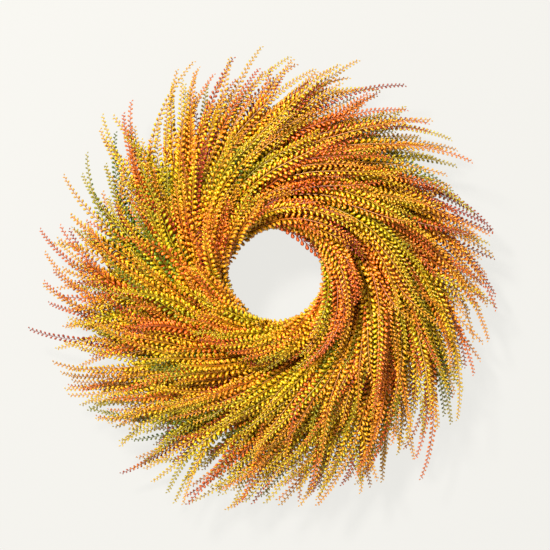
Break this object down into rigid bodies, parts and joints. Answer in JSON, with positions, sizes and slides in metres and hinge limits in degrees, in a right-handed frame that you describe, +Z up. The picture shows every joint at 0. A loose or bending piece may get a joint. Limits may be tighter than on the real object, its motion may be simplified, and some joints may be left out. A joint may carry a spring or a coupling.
{
  "type": "harvest door wreath",
  "caption": "Round door wreath of swirling plastic grass sprays wired to a raised wire wreath frame, with a pivoting wire hanging loop.",
  "frame": {"origin": "the point under the top of the hanging loop that rests on the hook", "axes": "+Z up, +Y towards the door behind the wreath, the wreath faces -Y"},
  "size_m": [0.6002, 0.1049, 0.6028],
  "materials": {
    "golden_fronds": "satin moulded polyethylene, golden yellow with green at the base and orange at the tips",
    "orange_fronds": "satin moulded polyethylene, orange to red-brown",
    "green_fronds": "satin moulded polyethylene, yellow-green",
    "frame_wire": "dark green baked enamel on steel wire",
    "paddle_wire": "green enamelled florist's wire",
    "loop_wire": "dull zinc-plated wire"
  },
  "bodies": {
    "hanger": {"hanging_loop": "loop_wire"},
    "wreath": {"ring_inner": "frame_wire", "ring_middle_inner": "frame_wire", "ring_middle_outer": "frame_wire", "ring_outer": "frame_wire", "brace_1": "frame_wire", "brace_2": "frame_wire", "brace_3": "frame_wire", "brace_4": "frame_wire", "brace_5": "frame_wire", "brace_6": "frame_wire", "binding_wire": "paddle_wire", "spray_inner_1": "golden_fronds", "spray_inner_2": "orange_fronds", "spray_inner_3": "golden_fronds", "spray_inner_4": "orange_fronds", "spray_inner_5": "golden_fronds", "spray_inner_6": "orange_fronds", "spray_inner_7": "golden_fronds", "spray_inner_8": "orange_fronds", "spray_inner_9": "golden_fronds", "spray_inner_10": "orange_fronds", "spray_inner_11": "golden_fronds", "spray_inner_12": "orange_fronds", "spray_middle_1": "golden_fronds", "spray_middle_2": "green_fronds", "spray_middle_3": "golden_fronds", "spray_middle_4": "green_fronds", "spray_middle_5": "golden_fronds", "spray_middle_6": "green_fronds", "spray_middle_7": "golden_fronds", "spray_middle_8": "green_fronds", "spray_middle_9": "golden_fronds", "spray_middle_10": "green_fronds", "spray_middle_11": "golden_fronds", "spray_middle_12": "green_fronds", "spray_outer_1": "orange_fronds", "spray_outer_2": "golden_fronds", "spray_outer_3": "orange_fronds", "spray_outer_4": "golden_fronds", "spray_outer_5": "orange_fronds", "spray_outer_6": "golden_fronds", "spray_outer_7": "orange_fronds", "spray_outer_8": "golden_fronds", "spray_outer_9": "orange_fronds", "spray_outer_10": "golden_fronds", "spray_outer_11": "orange_fronds", "spray_outer_12": "golden_fronds"}
  },
  "joints": [
    {"name": "swing", "type": "hinge", "parent": "hanger", "child": "wreath", "pos_m": [0, -0.00315, -0.036], "axis": [-1, 0, 0], "range_deg": [0, 20]}
  ]
}
